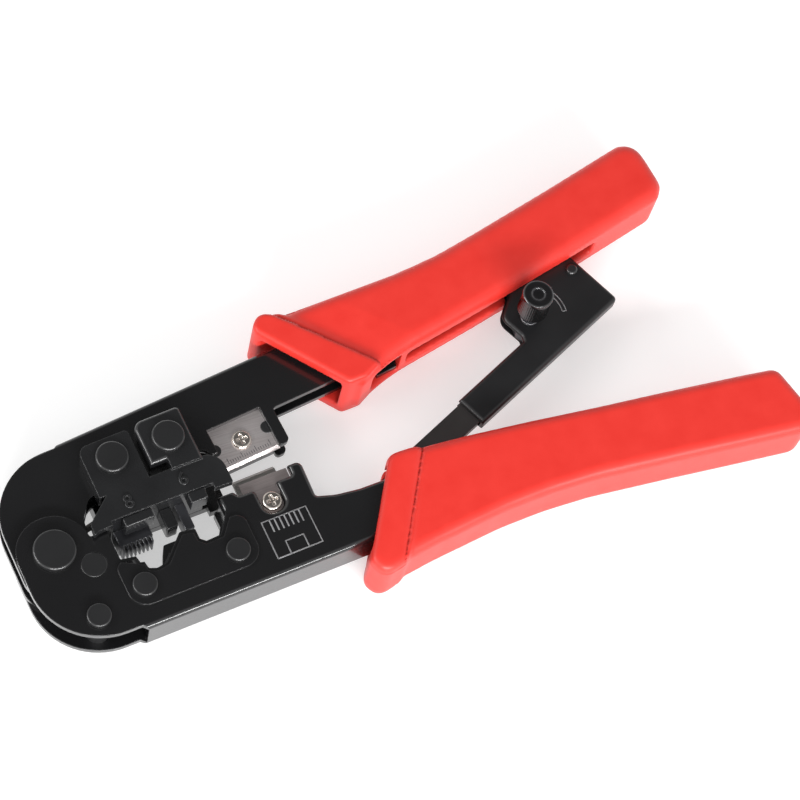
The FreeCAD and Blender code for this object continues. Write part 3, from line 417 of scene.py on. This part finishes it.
# The scale: short ticks from just above the cutting edge, and every sixth one long.
BLADE_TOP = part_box("upper_blade")[1].z
TICK_START, TICK_STEP, TICK_COUNT = 46.8, 0.62, 19
EDGE_X, EDGE_Y = 45.0, 5.9
LONG_TICK, SHORT_TICK = 1.5, 0.8
slope = math.tan(math.radians(BLADE_TILT))
ticks = []
for step in range(TICK_COUNT):
    foot_x = TICK_START + step * TICK_STEP
    foot_y = EDGE_Y + (foot_x - EDGE_X) * slope
    length = LONG_TICK if step % 6 == 0 else SHORT_TICK
    ticks.append([(foot_x, foot_y), (foot_x - length * slope, foot_y + length)])
etched_dark = finish_of(
    "etched_dark", colour=(0.07, 0.065, 0.07), bright=(0.16, 0.15, 0.155),
    rub_colour=(0.2, 0.2, 0.2), roughness=(0.4, 0.55), grain=2500.0, bump=0.01)
scale_marks = drawn_marks("blade_scale", ticks, BLADE_TOP, width=0.16, rise=0.05)
placed(scale_marks, etched_dark, "blade_steel", "upper")

# Nickel-plated cross-recess screws hold each blade on its packing.
nickel = finish_of(
    "nickel_screw", colour=(0.62, 0.55, 0.49), bright=(0.80, 0.74, 0.68),
    rub_colour=(0.95, 0.92, 0.88), roughness=(0.14, 0.28), grain=1400.0, bump=0.02, wear=0.7,
    metallic=1.0)
soft_edged("upper_blade_screw", nickel, "screw_nickel", "upper", width=0.08)
soft_edged("lower_blade_screw", nickel, "screw_nickel", "lower", width=0.08)

# ---------------------------------------------------------------- mark on the lower jaw
# A plain plug sign beside the blades: its outline, contacts and latch tongue are printed in pale
# grey paint, as a thin film on the lacquer of the front cheek.
CHEEK_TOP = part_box("lower_frame")[1].z
SIGN_LEFT, SIGN_RIGHT, SIGN_FOOT, SIGN_HEAD = 46.6, 58.0, -21.2, -11.6
CONTACT_COUNT, CONTACT_START, CONTACT_STEP, CONTACT_LENGTH = 7, 2.0, 1.25, 3.2
TONGUE_IN = 3.4
plug_outline = [(SIGN_LEFT, SIGN_FOOT), (SIGN_RIGHT, SIGN_FOOT), (SIGN_RIGHT, SIGN_HEAD),
                (SIGN_LEFT, SIGN_HEAD), (SIGN_LEFT, SIGN_FOOT)]
contact_places = [SIGN_LEFT + CONTACT_START + CONTACT_STEP * n for n in range(CONTACT_COUNT)]
contacts = [[(x, SIGN_HEAD), (x, SIGN_HEAD - CONTACT_LENGTH)] for x in contact_places]
tongue = [(SIGN_LEFT + TONGUE_IN, SIGN_FOOT), (SIGN_LEFT + TONGUE_IN, SIGN_FOOT + TONGUE_IN),
          (SIGN_RIGHT - TONGUE_IN, SIGN_FOOT + TONGUE_IN), (SIGN_RIGHT - TONGUE_IN, SIGN_FOOT)]
printed_grey = finish_of(
    "printed_grey", colour=(0.20, 0.20, 0.21), bright=(0.34, 0.34, 0.35),
    rub_colour=(0.4, 0.4, 0.4), roughness=(0.35, 0.5), grain=2600.0, bump=0.01)
plug_sign = drawn_marks("plug_sign", [plug_outline, tongue] + contacts, CHEEK_TOP,
                        width=0.42, rise=0.06)
placed(plug_sign, printed_grey, "frame_coat", "lower")

# ---------------------------------------------------------------- grips
# Two red mouldings pushed over the handles.  Each has a thicker collar at its mouth that ends in a
# rounded bead, and a fine groove where the collar meets the long part.
MID = 8.75 * MM

# Half thicknesses about the tool's middle plane: at the collar's mouth, at its seam, and up to
# where the inside of the moulding is left as it is.
COLLAR_HALF = 8.75 * MM
SEAM_HALF = 7.95 * MM
SKIN_HALF = 5.9 * MM
COLLAR_RUN = 11.0 * MM
MELT_FROM = -0.8 * MM
MELT_PASSES = 45
GROOVE_DEEP = 0.35 * MM
GROOVE_WIDE = 0.4 * MM
UPPER_SEAM = ((89.9, 14.7), (71.9, 34.9))
LOWER_SEAM = ((89.9, -9.2), (73.7, -33.1))
red_plastic = finish_of(
    "red_plastic", colour=(0.64, 0.024, 0.016), bright=(0.72, 0.035, 0.024),
    rub_colour=(0.80, 0.075, 0.055), roughness=(0.36, 0.48), grain=2600.0, bump=0.03, specks=0.006,
    wear=0.35)


def collar_depth(point, seam):
    """How far a point lies beyond the seam, a line between two (x, y), towards the grip's mouth."""
    start, end = (Vector(corner) * MM for corner in seam)
    along = (end - start).normalized()
    return (point.xy - start).dot(Vector((along.y, -along.x)))


def moulded_grip(node, body, seam):
    """The CAD grip with its steps melted into one skin, its collar sloped and its seam cut."""
    grip = cad_copy(node, f"{node}_moulded")
    modified(grip, "REMESH", mode="VOXEL", voxel_size=0.5 * MM)
    collar = grip.vertex_groups.new(name="collar")
    outer = [vertex.index for vertex in grip.data.vertices
             if collar_depth(vertex.co, seam) > MELT_FROM and abs(vertex.co.z - MID) > SKIN_HALF]
    collar.add(outer, 1.0, "REPLACE")
    modified(grip, "SMOOTH", factor=0.5, iterations=MELT_PASSES, vertex_group="collar")
    modified(grip, "SMOOTH", factor=0.5, iterations=4)
    for vertex in grip.data.vertices:
        depth = collar_depth(vertex.co, seam)
        side = vertex.co.z - MID
        if abs(side) < SKIN_HALF:
            continue
        if depth > 0:
            rise = min(depth / COLLAR_RUN, 1.0)
            side *= (SEAM_HALF + (COLLAR_HALF - SEAM_HALF) * rise) / COLLAR_HALF
        side -= math.copysign(GROOVE_DEEP * math.exp(-(depth / GROOVE_WIDE) ** 2), side)
        vertex.co.z = MID + side
    alone(grip)
    bpy.ops.object.shade_smooth()
    return placed(grip, red_plastic, "red_plastic", body, node)


moulded_grip("upper_grip", "upper", UPPER_SEAM)
moulded_grip("lower_grip", "lower", LOWER_SEAM)

# ---------------------------------------------------------------- ratchet link
# A folded sleeve on the upper handle guides a toothed bar pinned in the lower one.  Both have a
# satin black coat, rubbed grey along the bar by its travel in the sleeve.
satin = finish_of(
    "satin_black", colour=(0.007, 0.007, 0.0075), bright=(0.013, 0.013, 0.014),
    rub_colour=(0.07, 0.07, 0.07), roughness=(0.28, 0.40), grain=1200.0, bump=0.016, specks=0.012,
    wear=0.5)
rubbed = finish_of(
    "rubbed_bar", colour=(0.022, 0.020, 0.0195), bright=(0.042, 0.039, 0.038),
    rub_colour=(0.16, 0.155, 0.15), roughness=(0.30, 0.42), grain=1400.0, bump=0.014, specks=0.006,
    wear=0.8)
soft_edged("ratchet_sleeve", satin, "link_coat", "sleeve", width=0.2)
soft_edged("ratchet_bar", rubbed, "link_coat", "bar", width=0.14)
dressed("pawl", hardened)
dressed("knob_shaft", hardened)

# An arrow printed on the sleeve shows which way the release knob turns.
SLEEVE_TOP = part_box("ratchet_sleeve")[1].z
INNER_ARC, OUTER_ARC = 8.9, 9.9
HEAD_INNER, HEAD_TIP, HEAD_OUTER = 8.0, 9.2, 10.9
ARC_START, ARC_STEP, HEAD_ANGLE, TIP_ANGLE = -9, 5, 31, 45
knob_low, knob_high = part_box("release_knob")
knob_at = ((knob_low.x + knob_high.x) / 2 / MM, (knob_low.y + knob_high.y) / 2 / MM)


def round_knob(radius, degrees):
    """The (x, y) in millimetres of a place round the knob's axis."""
    turn = math.radians(degrees)
    return (knob_at[0] + radius * math.cos(turn), knob_at[1] + radius * math.sin(turn))


arc_turns = range(ARC_START, HEAD_ANGLE + 1, ARC_STEP)
inner_arc = [round_knob(INNER_ARC, degrees) for degrees in arc_turns]
outer_arc = [round_knob(OUTER_ARC, degrees) for degrees in arc_turns]
arrow_head = [inner_arc[-1], round_knob(HEAD_INNER, HEAD_ANGLE), round_knob(HEAD_TIP, TIP_ANGLE),
              round_knob(HEAD_OUTER, HEAD_ANGLE), outer_arc[-1]]
arrow = drawn_marks("release_arrow", [inner_arc[:1] + outer_arc, inner_arc, arrow_head],
                    SLEEVE_TOP, width=0.26, rise=0.05)
placed(arrow, printed_grey, "link_coat", "sleeve")

# ---------------------------------------------------------------- release knob
# A knob turned from bar and plated in dark nickel: straight knurling round its lower part, and
# above it a plain disc with rolled edges and a dished middle.
RIBS = 44

# How far below the knob's top the disc starts and the ribs end, in millimetres, and how far the
# ribs may reach below its foot.
DISC_HEIGHT = 1.5
RIB_TOP = 1.4
FOOT_SLACK = 0.05

# Shares of the knob's radius: how far out the ribs lie, how deep the grooves between them go, and
# how wide the knob is at its foot and at its head.
RIB_BAND = 0.95
RIB_GROOVE = 0.94
FOOT_TAPER, HEAD_TAPER = 0.90, 0.96
knob_middle = (knob_low + knob_high) / 2
knob_radius = (knob_high.x - knob_low.x) / 2
knob_height = knob_high.z - knob_low.z
bpy.ops.object.select_all(action="DESELECT")
bpy.ops.mesh.primitive_cylinder_add(vertices=RIBS * 2, radius=knob_radius, depth=knob_height,
                                    location=knob_middle)
knob = bpy.context.object
knob.name = "knurled_knob"
bpy.ops.object.transform_apply(location=True, rotation=True, scale=True)
bpy.ops.object.mode_set(mode="EDIT")
bpy.ops.mesh.select_mode(type="FACE")


def pick_faces(piece, test):
    """Selects the faces whose centre and normal pass the test, in edit mode."""
    bpy.ops.object.mode_set(mode="OBJECT")
    for polygon in piece.data.polygons:
        polygon.select = test(polygon.center, polygon.normal)
    bpy.ops.object.mode_set(mode="EDIT")


def inset_and_move(width, lift):
    """Insets the chosen faces and moves them along the knob's axis, both in millimetres."""
    bpy.ops.mesh.inset(thickness=width * MM, depth=0)
    bpy.ops.transform.translate(value=(0, 0, lift * MM))


# The top face is lowered to where the ribs end, and the disc is drawn up from it ring by ring:
# how far each ring rises in millimetres, and how its width changes.
DISC_RINGS = ((0.25, 1.11), (0.85, 1.0), (0.22, 0.975), (0.13, 0.94), (0.05, 0.92))
pick_faces(knob, lambda centre, normal: normal.z > 0.9)
bpy.ops.transform.translate(value=(0, 0, -DISC_HEIGHT * MM))
inset_and_move(0.35, 0.0)
for lift, grow in DISC_RINGS:
    bpy.ops.mesh.extrude_region_move(TRANSFORM_OT_translate={"value": (0, 0, lift * MM)})
    bpy.ops.transform.resize(value=(grow, grow, 1), center_override=knob_middle)

# The middle is dished in two steps, and the foot is a smaller step below the ribs.
inset_and_move(1.55, 0.0)
inset_and_move(0.18, -0.22)
inset_and_move(0.75, -0.1)
pick_faces(knob, lambda centre, normal: normal.z < -0.9)
inset_and_move(0.3, -0.2)
bpy.ops.object.mode_set(mode="OBJECT")

# Every other line of points round the ribs sinks into a groove; the disc and the foot stay plain.
rib_foot, rib_head = knob_low.z - FOOT_SLACK * MM, knob_high.z - RIB_TOP * MM
for vertex in knob.data.vertices:
    out = vertex.co.xy - knob_middle.xy
    if rib_foot <= vertex.co.z <= rib_head and out.length >= RIB_BAND * knob_radius:
        rib = round(math.atan2(out.y, out.x) / math.pi * RIBS)
        taper = FOOT_TAPER if vertex.co.z < knob_middle.z else HEAD_TAPER
        vertex.co.xy = knob_middle.xy + out * taper * (RIB_GROOVE if rib % 2 else 1.0)
modified(knob, "BEVEL", width=0.05 * MM, segments=1, limit_method="ANGLE",
         angle_limit=math.radians(50), use_clamp_overlap=True)
smooth_shaded(knob, angle=28)
dark_nickel = finish_of(
    "dark_nickel", colour=(0.085, 0.085, 0.09), bright=(0.14, 0.138, 0.14),
    rub_colour=(0.32, 0.31, 0.30), roughness=(0.12, 0.24), grain=1600.0, bump=0.006, wear=0.5,
    metallic=1.0)
placed(knob, dark_nickel, "knob_nickel", "release", "release_knob")

# ---------------------------------------------------------------- studio
# The tool lies on a white table under soft light from all round, with a dark panel overhead that
# keeps the lacquer black.
TABLE_SIZE = 6
TABLE_LEVEL = -0.1 * MM
TABLE_WHITE = (0.62, 0.62, 0.62)
TABLE_GLOW = 0.5
PANEL_TOWARDS = Vector((0.306, 0.336, 0.891))
MIDDLE_OF_TOOL = Vector((0.09, 0, 0))
bpy.ops.object.select_all(action="DESELECT")
bpy.ops.mesh.primitive_plane_add(size=TABLE_SIZE, location=(0, 0, TABLE_LEVEL))
table_top = bpy.context.object
table_top.name = "table_top"
white = bpy.data.materials.new("table_white")
white.use_nodes = True
white_surface = white.node_tree.nodes["Principled BSDF"]
white_surface.inputs["Base Color"].default_value = (*TABLE_WHITE, 1)
white_surface.inputs["Roughness"].default_value = 0.85
white_surface.inputs["Emission Color"].default_value = (1, 1, 1, 1)
white_surface.inputs["Emission Strength"].default_value = TABLE_GLOW
table_top.data.materials.append(white)

world = bpy.data.worlds.new("studio")
bpy.context.scene.world = world
world.use_nodes = True
sky = world.node_tree
facing = put(sky, "VectorMath", {0: put(sky, "TexCoord", {}).outputs["Generated"],
                                 1: PANEL_TOWARDS}, operation="DOT_PRODUCT")
glow = put(sky, "MapRange", {"Value": facing.outputs["Value"], "From Min": 0.78,
                             "From Max": 0.96, "To Min": 0.78, "To Max": 0.12})
sky.links.new(glow.outputs[0], sky.nodes["Background"].inputs["Strength"])
sky.nodes["Background"].inputs["Color"].default_value = (1, 1, 1, 1)

for name, place, wide, tall, watts in (
        ("front_strip", (-0.12, -0.90, 0.44), 1.0, 0.16, 15.0),
        ("left_strip", (-0.85, 0.25, 0.62), 0.8, 0.2, 5.0)):
    bpy.ops.object.light_add(type="AREA", location=place)
    lamp = bpy.context.object
    lamp.name = name
    lamp.data.shape = "RECTANGLE"
    lamp.data.size = wide
    lamp.data.size_y = tall
    lamp.data.energy = watts
    lamp.rotation_euler = (MIDDLE_OF_TOOL - Vector(place)).to_track_quat("-Z", "Y").to_euler()

# A long lens looks down on the tool from beyond the nose and below the lower handle.  The three
# axes are the camera's right, its up and the way from the tool back to it.
LENS, SENSOR = 117.1, 36.0
CAMERA_PLACE = Vector((-0.0996, -0.2042, 0.5683))
camera_data = bpy.data.cameras.new("camera")
camera_data.lens = LENS
camera_data.sensor_width = SENSOR
camera = bpy.data.objects.new("camera", camera_data)
bpy.context.scene.collection.objects.link(camera)
right = Vector((0.8903, -0.4324, 0.1427)).normalized()
backward = Vector((-0.3059, -0.3359, 0.8908)).normalized()
up = backward.cross(right).normalized()
right = up.cross(backward)
axes = Matrix((right, up, backward)).transposed().to_4x4()
camera.matrix_world = Matrix.Translation(CAMERA_PLACE) @ axes
bpy.context.scene.camera = camera
bpy.context.scene.view_settings.view_transform = "Standard"
